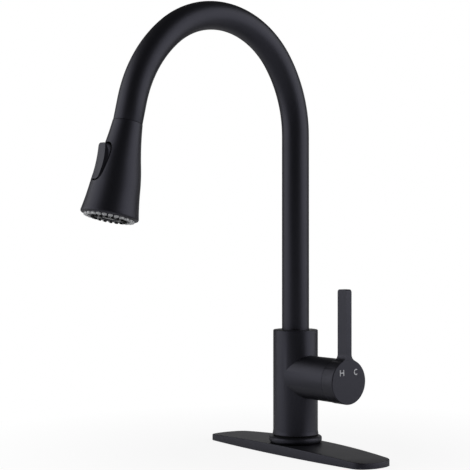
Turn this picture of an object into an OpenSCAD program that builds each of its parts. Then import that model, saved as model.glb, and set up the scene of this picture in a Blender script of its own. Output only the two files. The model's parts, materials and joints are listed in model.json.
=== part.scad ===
// Single-handle pull-down kitchen faucet with a ten-inch deck plate.
// Millimetres. +Z is up and the origin is the centre of the deck plate's underside.
// The spout reaches towards -Y and the handle's arm points along +X.

/* [Deck plate] */
// Length of the deck plate
plate_length = 254; // [240:1:280]
// Width across the middle of the plate
plate_width = 58; // [57:0.5:66]
// Width where the rounded ends begin
plate_end_width = 47; // [42:0.5:52]
// Height of the plate at its middle
plate_height = 10.2; // [9:0.1:14]
// Height of the plate's edge at its two ends
plate_end_height = 5.7; // [5:0.1:8]
// Radius of the blunt arc across each end
plate_end_r = 38; // [34:1:60]
// Radius of the plate's four corners
plate_corner_r = 13; // [6:0.5:15]
// Wall of the stamped cover
plate_wall = 1.5; // [1:0.1:2]
// Thickness of the gasket under the plate
gasket_t = 2; // [1.5:0.1:2.5]

/* [Base ring] */
// Outer radius of the ring that the column stands on
ring_r = 27.8; // [26:0.1:28]
// Height of that ring
ring_h = 7.6; // [6:0.1:10]
// Height of the dark groove above the ring
groove_h = 0.8; // [0.4:0.1:1.2]

/* [Body] */
// Radius of the column
column_r = 23.6; // [23:0.1:25]
// Height of the column's top rim above the deck
column_top = 129.1; // [127:0.1:150]
// Radius of the side arm
arm_r = 22.4; // [22:0.1:23]
// Height of the arm's axis above the deck
arm_z = 80.45; // [76:0.1:84]
// Distance from the column's axis to the arm's end
arm_reach = 66.8; // [66.5:0.1:68]
// Radius of the passage that the spray hose runs through
passage_r = 5.8; // [5.6:0.1:6.2]
// Radius of the three water ports
port_r = 3.5; // [3:0.1:3.6]
// Distance of the water ports from the column's axis
port_circle_r = 10.9; // [10.4:0.1:11.2]

/* [Mounting] */
// Outer radius of the threaded shank
shank_r = 16.4; // [16:0.1:16.6]
// Wall of the shank
shank_wall = 1.3; // [1:0.1:1.5]
// Length of the shank below the deck
shank_drop = 60; // [56:1:80]
// Thickness of the deck that the fixing nut is set to
deck_t = 25; // [5:1:38]

/* [Spout] */
// Outer radius of the spout tube
tube_r = 14.3; // [14:0.1:15]
// Wall of the spout tube
tube_wall = 1.4; // [1.2:0.1:1.6]
// Height where the straight leg ends
leg_top = 333.2; // [250:1:400]
// Radius of the first bend
bend_1_r = 133.4; // [120:1:150]
// Angle of the first bend
bend_1_deg = 35.1; // [30:0.1:40]
// Radius of the second bend
bend_2_r = 94.2; // [85:1:110]
// Angle of the second bend
bend_2_deg = 94.7; // [88:0.1:98]
// Radius of the third bend
bend_3_r = 129.4; // [115:1:140]
// Angle of the third bend
bend_3_deg = 37.35; // [34:0.1:41]
// Straight run before the outlet
outlet_run = 22.2; // [20:0.1:30]

/* [Hose] */
// Radius of the braided spray hose
hose_r = 5; // [4.5:0.1:5.2]
// Bore of the hose
hose_bore_r = 3; // [2.5:0.1:3.5]
// Length of hose that hangs below the deck
hose_drop = 75; // [70:1:120]

/* [Handle] */
// Radius of the handle's hub
hub_r = 22.8; // [22.6:0.1:23.2]
// Depth of the handle's hub, from the arm's end to its outer face
hub_depth = 16.5; // [16.2:0.1:18]
// Height of the lever's tip above the arm's axis
lever_up = 93.2; // [70:1:110]
// Width of the lever blade
lever_w = 7.3; // [6:0.1:9]
// Depth of the lever blade
lever_t = 13; // [11:0.1:14]
// Radius of the blade's tip
lever_tip_r = 3; // [2:0.1:4]
// Radius of the fillets at the lever's foot
lever_fillet = 7; // [4:0.5:9]

/* [Spray head] */
// Length of the spray head from the seam to its rim
head_length = 93; // [92:0.5:97]
// Radius of the head at the seam
head_neck_r = 14.6; // [14.3:0.05:15]
// Radius at the end of the upper flare
head_mid_r = 20.65; // [20.4:0.05:21]
// Radius below the button
head_low_r = 24.3; // [24.1:0.05:25]
// Radius of the rim at its widest
head_rim_r = 28.1; // [27.5:0.05:29]
// Length of the rounded lip below the widest rim
head_lip = 2; // [1.5:0.1:2.5]
// Wall of the head's shell
head_wall = 1.8; // [1.6:0.1:2]
// Nozzles in the outer ring
nozzle_count = 25; // [16:1:25]
// Radius of the outer ring of nozzles
nozzle_circle_r = 22.6; // [22:0.1:23]
// Nozzles in the inner ring
inner_nozzle_count = 18; // [12:1:18]
// Radius of the inner ring of nozzles
inner_nozzle_circle_r = 16; // [15.5:0.1:16.5]

/* [Spray button] */
// Length of the button's pocket
pocket_length = 39.4; // [38:0.1:40]
// Width of the button's pocket
pocket_width = 19.1; // [18.4:0.1:19.4]
// Gap between the button and its pocket
button_gap = 1; // [0.8:0.1:1.2]

/* [Fits] */
// Radial clearance where a part runs in another
running_gap = 0.05; // [0.02:0.01:0.09]
// Gap between seated parts
seat_gap = 0.1; // [0.05:0.05:0.2]
// Gap between the handle's hollow and the dome that it slides over
dome_gap = 0.4; // [0.3:0.05:0.5]

/* [Hidden] */
$fn = 96;
big = 400;
eps = 0.01;

// Plate: side arcs, end arcs and tangent corners
plate_end_run = 13.4;
plate_side_run = plate_length / 2 - plate_end_run;
plate_bow = (plate_width - plate_end_width) / 2;
plate_side_r = (pow(plate_side_run, 2) + pow(plate_bow, 2)) / (2 * plate_bow);
plate_drop = plate_height - plate_end_height;
plate_crown_r = (pow(plate_length / 2, 2) + pow(plate_drop, 2)) / (2 * plate_drop);
seat_r = ring_r + 0.5;

// Heights of the stack on the plate
ring_z = plate_height;
ring_top = ring_z + ring_h;
column_z = ring_top + groove_h;
shank_top = column_z + 7.5;
flare_r = column_r + 0.7;
shank_hole_r = shank_r + 0.6;

// Cartridge, measured along X from the column's axis
cart_length = 25;
cart_end = arm_reach - 13.8;
cart_x = cart_end - cart_length;
cart_r = 17.4;
cart_wall = 2;
cart_neck_r = cart_r - 5.2;
nut_r = arm_r - 2.8;
nut_end = arm_reach - 6.8;
disc_t = 4;
fixed_disc_x = cart_x + 5;
moving_disc_x = fixed_disc_x + disc_t + seat_gap;
carrier_x = moving_disc_x + disc_t + seat_gap;
flow_deg = 25;
stem_w = 7;
stem_pin_r = 1.5;
ball_r = 2.6;

// The handle rocks about this point, the centre of the dome
pivot_x = arm_reach - 19.6;
hub_face = arm_reach + hub_depth;
hub_hollow_r = norm([arm_reach + 0.4 - pivot_x, arm_r]) + 0.1;
dome_r = hub_hollow_r - dome_gap;
dome_wall = 1.6;
hub_back = arm_reach + 0.6;
hub_wall = hub_face - pivot_x - hub_hollow_r;
dome_hole_deg = flow_deg / 2;
dome_hole_half = 29.5;
dome_steps = 16;

// Spout seat in the column
collar_h = 10;
collar_r = column_r - 4;
bush_top = column_top - collar_h - 1;
bush_z = bush_top - 20;
bore_r = 17;
spout_z = bush_z + 1;
tube_bore_r = tube_r - tube_wall;
bend_1_steps = 5;
bend_2_steps = 14;
bend_3_steps = 5;
tube_sides = 40;
hose_sides = 12;

// Dock at the spout's outlet, measured along the outlet from the seam
dock_top = -19.5;
seat_top = -14;
seat_low = -4;
dock_bore_r = hose_r + 1.6;
seat_r_low = tube_bore_r - 1.7;
dock_lip = 0.4;
ferrule_r = hose_r + 1;
ferrule_top = -20;
ferrule_low = -12.2;
hose_end = -14;
neck_r = 4.4;
flange_r = 7.4;
flange_s = 6;
flange_t = 2;

// Spray head: three tangent arcs give its outline down to the widest rim
rim_s = head_length - head_lip;
flare_s = 0.44 * rim_s;
waist_s = 0.703 * rim_s;
head_slope_0 = 0.09;
seam_gap = 0.3;
core_r = 9.6;
core_s = flange_s + flange_t + 2;
button_s = 0.477 * rim_s;
pivot_s = button_s + 0.6;
pivot_n = 14;
spool_s = button_s - 9.4;
spool_r = 3.4;
spool_front = 11.9;
frame_back = 9.9;
frame_floor = 11.1;
rocker_pin_r = 1.25;
face_s = head_length + 0.5;
raised_s = face_s + 1.4;
raised_r = 18.8;
plate_s = head_length - 4;
pad_s = plate_s - 2.4;
chamber_s = pad_s - 13;
aerator_r = 9;
aerator_wall = 1.4;
pad_split_r = 19.2;
nozzle_w = 4.2;
inner_nozzle_r = 1.4;
nozzle_out = 1.6;
inner_nozzle_out = 1.4;
nozzle_feed_in = 1.2;
face_screw_r = 1.2;
face_screw_head_r = 2.2;
face_screw_head_t = 1.3;
face_screw_circle = aerator_r + 3.4;
core_land_r = face_screw_circle + 1.6;
face_cut = 30;

// ---- outlines -------------------------------------------------------------

function arc_points(c, r, a0, a1, n) =
    [for (i = [0 : n - 1]) c + r * [cos(a0 + (a1 - a0) * i / n), sin(a0 + (a1 - a0) * i / n)]];

// Quarter outline of the plate from +Y round to +X, drawn in by inset
function plate_quarter(inset) =
    let (
        below = plate_side_r - plate_width / 2,
        along = plate_length / 2 - plate_end_r,
        far = norm([below, along]),
        r_side = plate_side_r - plate_corner_r,
        r_end = plate_end_r - plate_corner_r,
        foot = (far * far + r_side * r_side - r_end * r_end) / (2 * far),
        rise = sqrt(r_side * r_side - foot * foot),
        corner = [0, -below] + foot * [along, below] / far + rise * [below, -along] / far,
        a_side = atan2(corner[1] + below, corner[0]),
        a_end = atan2(corner[1], corner[0] - along)
    )
    concat(
        arc_points([0, -below], plate_side_r - inset, 90, a_side, 16),
        arc_points(corner, plate_corner_r - inset, a_side, a_end, 10),
        arc_points([along, 0], plate_end_r - inset, a_end, 0, 8)
    );

function plate_points(inset) =
    let (q = plate_quarter(inset), n = len(q), tip = [plate_length / 2 - inset, 0])
    concat(
        q,
        [tip],
        [for (i = [1 : n - 1]) [q[n - i][0], -q[n - i][1]]],
        [for (i = [0 : n - 1]) [-q[i][0], -q[i][1]]],
        [-tip],
        [for (i = [1 : n - 1]) [-q[n - i][0], q[n - i][1]]]
    );

// Radius of the spray head at s: slope changes steadily within each of three arcs
slope_1 = 2 * (head_mid_r - head_neck_r) / flare_s - head_slope_0;
slope_2 = 2 * (head_low_r - head_mid_r) / (waist_s - flare_s) - slope_1;
slope_3 = 2 * (head_rim_r - head_low_r) / (rim_s - waist_s) - slope_2;
function eased(r, run, m0, m1, t) = r + m0 * t + (m1 - m0) * t * t / (2 * run);
function head_r(s) =
    s < flare_s ? eased(head_neck_r, flare_s, head_slope_0, slope_1, s)
    : s < waist_s ? eased(head_mid_r, waist_s - flare_s, slope_1, slope_2, s - flare_s)
    : eased(head_low_r, rim_s - waist_s, slope_2, slope_3, min(s, rim_s) - waist_s);

// Outline of the button and its pocket: a blunt oval
function oval_points(half_w, half_l) =
    [for (a = [0 : 7.5 : 352.5])
        [half_w * sign(cos(a)) * pow(abs(cos(a)), 0.7),
         half_l * sign(sin(a)) * pow(abs(sin(a)), 0.7)]];

// ---- placing --------------------------------------------------------------

module ring(r_out, r_in, h) {
    difference() {
        cylinder(r = r_out, h = h);
        translate([0, 0, -1]) cylinder(r = r_in, h = h + 2);
    }
}

// Turns children that stand on Z so that they point along X on the arm's axis
module on_arm(x) {
    translate([x, 0, arm_z]) rotate([0, 90, 0]) children();
}

module after_bend(r, a) {
    translate([0, -r, 0]) rotate([a, 0, 0]) translate([0, r, 0]) children();
}

// Stations round a bend, each [y, z, heading], starting after station s
function bend_stations(s, r, turn, n) =
    let (c = [s[0], s[1]] - r * [cos(s[2]), sin(s[2])])
    [for (i = [1 : n]) let (a = s[2] + turn * i / n, p = c + r * [cos(a), sin(a)]) [p[0], p[1], a]];
function last(v) = v[len(v) - 1];

// The spout's centreline from from_z up the leg and round the bends to s = end
function spout_stations(from_z, end) =
    let (
        leg = [[0, from_z, 0], [0, leg_top, 0]],
        one = bend_stations(last(leg), bend_1_r, bend_1_deg, bend_1_steps),
        two = bend_stations(last(one), bend_2_r, bend_2_deg, bend_2_steps),
        three = bend_stations(last(two), bend_3_r, bend_3_deg, bend_3_steps),
        exit = last(three),
        run = outlet_run + end
    )
    concat(leg, one, two, three, [[exit[0] - run * sin(exit[2]), exit[1] + run * cos(exit[2]), exit[2]]]);

function loop_points(s, r, sides) =
    [for (k = [0 : sides - 1]) let (t = 360 * k / sides)
        [r * cos(t), s[0] + r * sin(t) * cos(s[2]), s[1] + r * sin(t) * sin(s[2])]];

// Hollow sweep: outer loops first, then the bore's, with a ring of faces at each end
module hollow_sweep(stations, r_out, r_in, sides) {
    n = len(stations);
    inner = n * sides;
    points = concat(
        [for (s = stations) each loop_points(s, r_out, sides)],
        [for (s = stations) each loop_points(s, r_in / cos(180 / sides), sides)]
    );
    steps = [for (i = [0 : n - 2]) for (k = [0 : sides - 1]) [i * sides + k, i * sides + (k + 1) % sides]];
    walls = [for (e = steps) [e[0], e[0] + sides, e[1] + sides, e[1]]];
    bore = [for (e = steps) [inner + e[0], inner + e[1], inner + e[1] + sides, inner + e[0] + sides]];
    edges = [for (k = [0 : sides - 1]) [k, (k + 1) % sides]];
    end = (n - 1) * sides;
    first_end = [for (e = edges) [e[0], e[1], inner + e[1], inner + e[0]]];
    last_end = [for (e = edges) [end + e[0], inner + end + e[0], inner + end + e[1], end + e[1]]];
    polyhedron(points, concat(walls, bore, first_end, last_end), convexity = 8);
}

// The outlet's frame: origin at the seam, Z out of the spout, Y to the front
module at_outlet() {
    translate([0, 0, leg_top])
        after_bend(bend_1_r, bend_1_deg)
        after_bend(bend_2_r, bend_2_deg)
        after_bend(bend_3_r, bend_3_deg)
        translate([0, 0, outlet_run]) children();
}

// Turns an XY outline to face the front of the head: its Y runs along s
module facing_front(from_n, to_n) {
    translate([0, to_n, 0]) rotate([90, 0, 0]) linear_extrude(to_n - from_n) children();
}

// ---- deck plate and base --------------------------------------------------

module crowned(inset, lower, from_z) {
    intersection() {
        translate([0, 0, from_z]) linear_extrude(plate_height + 2) polygon(plate_points(inset));
        translate([0, 0, plate_height - plate_crown_r])
            rotate([90, 0, 0])
            cylinder(r = plate_crown_r - lower, h = 2 * plate_width, center = true, $fn = 720);
    }
}

module deck_plate() {
    color("#1b1c1e") difference() {
        union() {
            crowned(0, 0, 0);
            translate([0, 0, plate_height - plate_wall]) cylinder(r = seat_r, h = plate_wall);
        }
        crowned(plate_wall, plate_wall, -1);
        translate([0, 0, -1]) cylinder(r = shank_hole_r, h = plate_height + 2);
    }
}

module plate_base() {
    rib = 2;
    cell = [16, 15, 2];
    first_cell_x = 37;
    row_y = 9.5;
    boss_r = shank_hole_r + 4;
    board_top = plate_end_height - plate_wall - 3 * seat_gap;
    boss_top = plate_height - plate_wall - 2 * seat_gap;
    color("#2a2a2a") difference() {
        union() {
            translate([0, 0, gasket_t])
                linear_extrude(board_top - gasket_t) polygon(plate_points(plate_wall + seat_gap));
            translate([0, 0, gasket_t]) cylinder(r = boss_r, h = boss_top - gasket_t);
        }
        translate([0, 0, -1]) cylinder(r = shank_hole_r, h = plate_height + 2);
        for (side = [-1, 1])
            for (i = [0 : 3])
                for (row = [-1, 1])
                    translate([side * (first_cell_x + i * (cell[0] + rib)), row * row_y, gasket_t])
                        cube(cell, center = true);
    }
}

module plate_gasket() {
    color("#101010") difference() {
        linear_extrude(gasket_t) polygon(plate_points(plate_wall + seat_gap));
        translate([0, 0, -1]) cylinder(r = shank_hole_r + 0.5, h = gasket_t + 2);
    }
}

module base_ring() {
    color("#1b1c1e") translate([0, 0, ring_z]) rotate_extrude() polygon([
        [shank_hole_r, 0],
        [ring_r - 2.2, 0],
        [ring_r - 1.2, 0.8],
        [ring_r - 0.3, 2.1],
        [ring_r, 3.3],
        [ring_r, ring_h - 2.2],
        [ring_r - 0.25, ring_h - 1.4],
        [ring_r - 1.3, ring_h - 0.5],
        [ring_r - 3, ring_h],
        [shank_hole_r, ring_h]
    ]);
}

module base_seal() {
    color("#080808") translate([0, 0, ring_top]) ring(column_r - 0.8, shank_hole_r, groove_h);
}

// Vertical port from the underside with a run along X to the cartridge's seat
module port(a, z) {
    x = port_circle_r * cos(a);
    y = port_circle_r * sin(a);
    translate([x, y, shank_top - 1]) cylinder(r = port_r, h = 13);
    translate([x, y, shank_top]) cylinder(r = port_r - 0.5, h = z - shank_top);
    translate([x, y, z]) sphere(r = port_r - 0.5);
    translate([x, y, z]) rotate([0, 90, 0]) cylinder(r = port_r - 0.5, h = cart_x - x + 1);
}

hot_deg = -110;
cold_deg = 110;
outlet_deg = 0;
inlet_z = arm_z + 4;
outlet_z = arm_z - 9;

module valve_body() {
    color("#1b1c1e") difference() {
        union() {
            rotate_extrude() polygon([
                [0, column_z],
                [flare_r - 0.7, column_z],
                [flare_r, column_z + 0.9],
                [flare_r - 0.35, column_z + 2.4],
                [column_r, column_z + 4.8],
                [column_r, column_top - 0.7],
                [column_r - 0.7, column_top],
                [0, column_top]
            ]);
            on_arm(0) rotate_extrude() polygon([
                [0, 0],
                [arm_r, 0],
                [arm_r, arm_reach - 0.4],
                [arm_r - 0.4, arm_reach],
                [0, arm_reach]
            ]);
        }
        translate([0, 0, column_z - 1]) cylinder(r = shank_r + seat_gap, h = shank_top - column_z + 1);
        translate([0, 0, column_z]) cylinder(r = passage_r, h = column_top - column_z);
        translate([0, 0, bush_z]) cylinder(r = bore_r, h = column_top - bush_z);
        translate([0, 0, column_top - collar_h]) cylinder(r = collar_r + seat_gap, h = collar_h + 1);
        on_arm(cart_x) cylinder(r = cart_r + seat_gap, h = arm_reach);
        on_arm(cart_end + seat_gap) cylinder(r = nut_r + seat_gap, h = arm_reach);
        port(hot_deg, inlet_z);
        port(cold_deg, inlet_z);
        port(outlet_deg, outlet_z);
    }
}

module spout_collar() {
    color("#1b1c1e") translate([0, 0, column_top - collar_h])
        rotate_extrude() polygon([
            [tube_r + running_gap, 0],
            [collar_r, 0],
            [collar_r, collar_h - 0.3],
            [collar_r - 0.3, collar_h],
            [tube_r + running_gap + 0.5, collar_h],
            [tube_r + running_gap, collar_h - 0.5]
        ]);
}

// ---- fixing under the deck ------------------------------------------------

washer_r = shank_r + 11.6;
rubber_t = 3;
steel_t = 2;
nut_h = 14;
steel_z = -deck_t - rubber_t - steel_t;
nut_z = steel_z - nut_h;
nut_bore_r = shank_r + seat_gap;
nut_flange_r = shank_r + 10.6;
screw_circle_r = shank_r + 6.6;
clamp_screw_r = 2.5;

module mounting_shank() {
    color("#b98a4a") translate([0, 0, -shank_drop])
        ring(shank_r, shank_r - shank_wall, shank_drop + shank_top);
}

module rubber_washer() {
    color("#151515") translate([0, 0, -deck_t - rubber_t]) ring(washer_r, nut_bore_r, rubber_t);
}

module steel_washer() {
    color("#b8babd") translate([0, 0, steel_z]) ring(washer_r, nut_bore_r, steel_t);
}

module at_screws() {
    for (a = [45, 225])
        rotate([0, 0, a]) translate([screw_circle_r, 0, nut_z]) children();
}

module mounting_nut() {
    color("#b98a4a") difference() {
        union() {
            translate([0, 0, nut_z + nut_h - 5]) cylinder(r = nut_flange_r, h = 5);
            translate([0, 0, nut_z]) cylinder(r = shank_r + 5, h = nut_h);
            for (a = [0 : 45 : 315])
                rotate([0, 0, a]) translate([shank_r + 4, -2, nut_z]) cube([3.4, 4, nut_h - 4]);
        }
        translate([0, 0, nut_z - 1]) cylinder(r = nut_bore_r, h = nut_h + 2);
        at_screws() translate([0, 0, -1]) cylinder(r = clamp_screw_r + seat_gap, h = nut_h + 2);
    }
}

module nut_screws() {
    color("#9a9da1") at_screws() difference() {
        union() {
            translate([0, 0, -6]) cylinder(r = clamp_screw_r, h = nut_h + 6);
            translate([0, 0, -9]) cylinder(r = 4, h = 3, $fn = 6);
        }
        translate([-3, -0.5, -9.5]) cube([6, 1, 2]);
    }
}

// ---- mixer cartridge ------------------------------------------------------

module cart_ports(h, r) {
    for (yz = [[port_circle_r * sin(hot_deg), inlet_z],
               [port_circle_r * sin(cold_deg), inlet_z],
               [0, outlet_z]])
        translate([-1, yz[0], yz[1]]) rotate([0, 90, 0]) cylinder(r = r, h = h + 2);
}

module cartridge_housing() {
    color("#d9d5c8") difference() {
        union() {
            on_arm(cart_x + 1) cylinder(r = cart_r, h = cart_end - cart_x - 1);
            on_arm(cart_end - eps) cylinder(r = cart_neck_r, h = 5);
        }
        on_arm(fixed_disc_x) cylinder(r = cart_r - cart_wall, h = cart_end - fixed_disc_x - 2);
        on_arm(cart_end - 3) cylinder(r = cart_neck_r - 1.2, h = 10);
        translate([cart_x, 0, 0]) cart_ports(8, port_r - 0.5);
        translate([cart_x, 0, 0]) cart_ports(1.2, port_r + 1.1);
    }
}

module cartridge_seals() {
    color("#101010") translate([cart_x, 0, 0]) difference() {
        translate([1, 0, 0]) cart_ports(0.2, port_r + 1);
        cart_ports(4, port_r - 0.6);
    }
}

module fixed_disc() {
    color("#efefea") difference() {
        on_arm(fixed_disc_x) cylinder(r = cart_r - cart_wall - seat_gap, h = disc_t);
        translate([fixed_disc_x, 0, 0]) cart_ports(disc_t, port_r - 0.7);
    }
}

module cartridge_nut() {
    color("#b98a4a") difference() {
        on_arm(cart_end + 2 * seat_gap) cylinder(r = nut_r, h = nut_end - cart_end - seat_gap);
        on_arm(cart_end - 1) cylinder(r = cart_neck_r + seat_gap, h = 20);
        for (a = [0, 90, 180, 270])
            on_arm(nut_end - 3) rotate([0, 0, a]) translate([nut_r - 4, -2, 0]) cube([5, 4, 10]);
    }
}

// Meridian of a sphere about the handle's pivot, from the edge at x to the arm's axis
function dome_line(r, x) =
    let (edge = acos((x - pivot_x) / r))
    [for (i = [0 : dome_steps]) let (a = edge * (1 - i / dome_steps)) [r * sin(a), pivot_x + r * cos(a)]];
function backwards(points) = [for (i = [len(points) - 1 : -1 : 0]) points[i]];

module bonnet_dome() {
    rim_x = arm_reach + seat_gap;
    color("#1b1c1e") difference() {
        on_arm(0) rotate_extrude() polygon(concat(
            dome_line(dome_r, rim_x),
            backwards(dome_line(dome_r - dome_wall, rim_x)),
            [
                [nut_r - dome_wall, rim_x],
                [nut_r - dome_wall, nut_end + 0.5],
                [nut_r, nut_end + 0.5],
                [nut_r, rim_x]
            ]
        ));
        translate([pivot_x, 0, arm_z]) rotate([0, 90 + dome_hole_deg, 0])
            cylinder(r1 = 0, r2 = big * tan(dome_hole_half), h = big);
    }
}

// The carrier turns with the lever and guides the stem's rocking and the disc
carrier_r = 9.6;
slot_w = stem_w + 1;

module stem_carrier() {
    color("#e4e1d6") difference() {
        union() {
            on_arm(carrier_x) cylinder(r = cart_r - cart_wall - 0.4, h = 4);
            on_arm(carrier_x) cylinder(r = carrier_r, h = cart_end - carrier_x + 3);
        }
        translate([carrier_x - 1, -slot_w / 2, arm_z - carrier_r - 1])
            cube([cart_end - carrier_x + 6, slot_w, 2 * carrier_r + 2]);
        translate([pivot_x, 0, arm_z]) rotate([90, 0, 0])
            cylinder(r = stem_pin_r + eps, h = 2 * carrier_r + 2, center = true);
    }
}

module stem_pin() {
    color("#c8cacc") translate([pivot_x, 0, arm_z]) rotate([90, 0, 0])
        cylinder(r = stem_pin_r, h = 2 * carrier_r - 2, center = true);
}

socket_depth = 3.2;
socket_r = ball_r + 0.8;

module moving_disc() {
    color("#efefea") difference() {
        on_arm(moving_disc_x) cylinder(r = 10.4, h = disc_t);
        on_arm(moving_disc_x + disc_t - socket_depth) cylinder(r = socket_r, h = socket_depth + 1);
        translate([moving_disc_x - 1, -4, arm_z - 8]) cube([2, 8, 3.4]);
    }
}

module cartridge_stem() {
    end_x = moving_disc_x + disc_t - socket_depth + 2 * seat_gap;
    root = pivot_x - stem_w / 2;
    outer = hub_face - 1.4;
    color("#c9b27a") difference() {
        union() {
            translate([root, -stem_w / 2, arm_z - stem_w / 2]) cube([outer - root, stem_w, stem_w]);
            on_arm(end_x) cylinder(r = ball_r - 0.6, h = root + 1 - end_x);
            on_arm(end_x) cylinder(r = ball_r - 0.4, h = 1.6);
        }
        translate([pivot_x, 0, arm_z]) rotate([90, 0, 0])
            cylinder(r = stem_pin_r + running_gap, h = stem_w + 2, center = true);
    }
}

// ---- handle ---------------------------------------------------------------

set_screw_r = 1.5;
set_screw_x = hub_face - hub_wall / 2;

// The blade with the tangent fillets at its foot, standing on the hub's circle
module lever_outline() {
    half = lever_w / 2;
    fillet_x = half + lever_fillet;
    fillet_y = sqrt(pow(hub_r + lever_fillet, 2) - fillet_x * fillet_x);
    touch = hub_r / (hub_r + lever_fillet);
    difference() {
        union() {
            translate([-half, 0]) square([lever_w, lever_up]);
            polygon([
                [-fillet_x * touch, fillet_y * touch],
                [-fillet_x, fillet_y],
                [fillet_x, fillet_y],
                [fillet_x * touch, fillet_y * touch],
                [0, 0]
            ]);
        }
        for (side = [-1, 1])
            translate([side * fillet_x, fillet_y]) circle(r = lever_fillet);
        circle(r = hub_r - 0.5);
    }
}

// Turns an outline so that its Y is up and it has its thickness along X
module across_arm(x, t) {
    translate([x, 0, arm_z]) rotate([90, 0, 90]) linear_extrude(t) children();
}

module blade_side() {
    shoulder = lever_up - lever_tip_r;
    translate([hub_face - lever_t, 0]) {
        square([lever_t, shoulder]);
        translate([lever_tip_r, 0]) square([lever_t - 2 * lever_tip_r, lever_up]);
        translate([lever_tip_r, shoulder]) circle(r = lever_tip_r);
        translate([lever_t - lever_tip_r, shoulder]) circle(r = lever_tip_r);
    }
}

module lever_handle() {
    bevel = 0.6;
    color("#1b1c1e") difference() {
        union() {
            on_arm(0) rotate_extrude() polygon(concat(
                dome_line(hub_hollow_r, hub_back),
                [
                    [0, hub_face],
                    [hub_r - bevel, hub_face],
                    [hub_r, hub_face - bevel],
                    [hub_r, hub_back]
                ]
            ));
            intersection() {
                across_arm(hub_face - lever_t, lever_t) lever_outline();
                translate([0, hub_r, arm_z]) rotate([90, 0, 0]) linear_extrude(2 * hub_r) blade_side();
            }
        }
        translate([pivot_x, -stem_w / 2 - seat_gap, arm_z - stem_w / 2 - seat_gap])
            cube([hub_face - 1.3 - pivot_x, stem_w + 2 * seat_gap, stem_w + 2 * seat_gap]);
        translate([set_screw_x, 0, arm_z - hub_r - 1]) cylinder(r = set_screw_r + seat_gap, h = hub_r);
    }
}

module handle_set_screw() {
    tip = arm_z - stem_w / 2 - seat_gap;
    color("#9a9da1") difference() {
        translate([set_screw_x, 0, tip - 8]) cylinder(r = set_screw_r, h = 8);
        translate([set_screw_x, 0, tip - 8.5]) cylinder(r = 0.8, h = 3, $fn = 6);
    }
}

module screw_plug() {
    color("#1b1c1e") translate([set_screw_x, 0, arm_z - hub_r + 0.3]) cylinder(r = set_screw_r, h = 3);
}

// ---- spout ----------------------------------------------------------------

module spout_tube() {
    color("#1b1c1e")
        hollow_sweep(spout_stations(spout_z, -seam_gap / 2), tube_r, tube_bore_r, tube_sides);
}

ring_w = 3;
ring_groove = 1.2;
bush_r = bore_r - 0.3;

module at_glide_rings() {
    for (z = [bush_z + 4, bush_top - 4 - ring_w])
        translate([0, 0, z]) children();
}

module spout_bush() {
    color("#b98a4a") difference() {
        translate([0, 0, spout_z]) ring(bush_r, tube_r + eps, bush_top - spout_z);
        at_glide_rings() ring(bush_r + 1, bush_r - ring_groove, ring_w);
    }
}

module glide_rings() {
    color("#e8e6de") at_glide_rings()
        translate([0, 0, seat_gap])
        ring(bore_r - running_gap, bush_r - ring_groove + seat_gap, ring_w - 2 * seat_gap);
}

module dock_collar() {
    color("#25262a") at_outlet() difference() {
        rotate_extrude() polygon([
            [dock_bore_r, dock_top],
            [tube_bore_r - eps, dock_top],
            [tube_bore_r - eps, -dock_lip],
            [seat_r_low, -dock_lip],
            [seat_r_low, seat_low],
            [dock_bore_r, seat_top]
        ]);
        translate([0, 0, dock_top - 1]) ring(magnet_r, magnet_bore_r, magnet_t + 1);
    }
}

magnet_r = tube_bore_r - 1.1;
magnet_bore_r = dock_bore_r + 1.2;
magnet_t = 3.5;

module dock_magnet() {
    color("#7d7f83") at_outlet() translate([0, 0, dock_top])
        ring(magnet_r - seat_gap / 2, magnet_bore_r + seat_gap / 2, magnet_t - seat_gap / 2);
}

module spray_hose() {
    color("#6e7276")
        hollow_sweep(spout_stations(-hose_drop, hose_end), hose_r, hose_bore_r, hose_sides);
}

plug_length = 26;

module hose_plug() {
    color("#c0c2c5") translate([0, 0, -hose_drop]) rotate_extrude() polygon([
        [hose_r + seat_gap, 10],
        [hose_r + 0.6, 10],
        [hose_r + 0.6, -3],
        [hose_r - 0.6, -3],
        [hose_r - 0.6, -9],
        [hose_r - 1.4, -9],
        [hose_r - 1.4, -11],
        [hose_r - 0.6, -11],
        [hose_r - 0.6, 10 - plug_length],
        [hose_bore_r, 10 - plug_length],
        [hose_bore_r, -seat_gap],
        [hose_r + seat_gap, -seat_gap]
    ]);
}

// Crimped sleeve, neck and flange on which the spray head swivels
module hose_ferrule() {
    color("#c0c2c5") at_outlet() rotate_extrude() polygon([
        [hose_r + seat_gap, ferrule_top],
        [ferrule_r, ferrule_top],
        [ferrule_r, ferrule_low],
        [neck_r, ferrule_low],
        [neck_r, flange_s],
        [flange_r, flange_s],
        [flange_r, flange_s + flange_t],
        [hose_bore_r, flange_s + flange_t],
        [hose_bore_r, hose_end + seat_gap],
        [hose_r + seat_gap, hose_end + seat_gap]
    ]);
}

// ---- spray head -----------------------------------------------------------

head_top = seam_gap / 2;
line_steps = 24;
function head_line(inset, s0, s1) =
    [for (i = [0 : line_steps]) let (s = s0 + (s1 - s0) * i / line_steps) [head_r(s) - inset, s]];

// Rounded lip from the widest rim in to the face
lip_in = 1.9;
lip_steps = 6;
lip_points = [for (i = [1 : lip_steps]) let (a = 90 * i / lip_steps)
    [head_rim_r - lip_in * (1 - cos(a)), rim_s + head_lip * sin(a)]];

module head_solid(inset, s0, s1) {
    rotate_extrude() polygon(concat([[0, s0]], head_line(inset, s0, s1), [[0, s1]]));
}

module pocket_outline(inset) {
    translate([0, button_s]) polygon(oval_points(pocket_width / 2 - inset, pocket_length / 2 - inset));
}

head_roof = 2.4;
pocket_back = 5;
pocket_front = 40;

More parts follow.
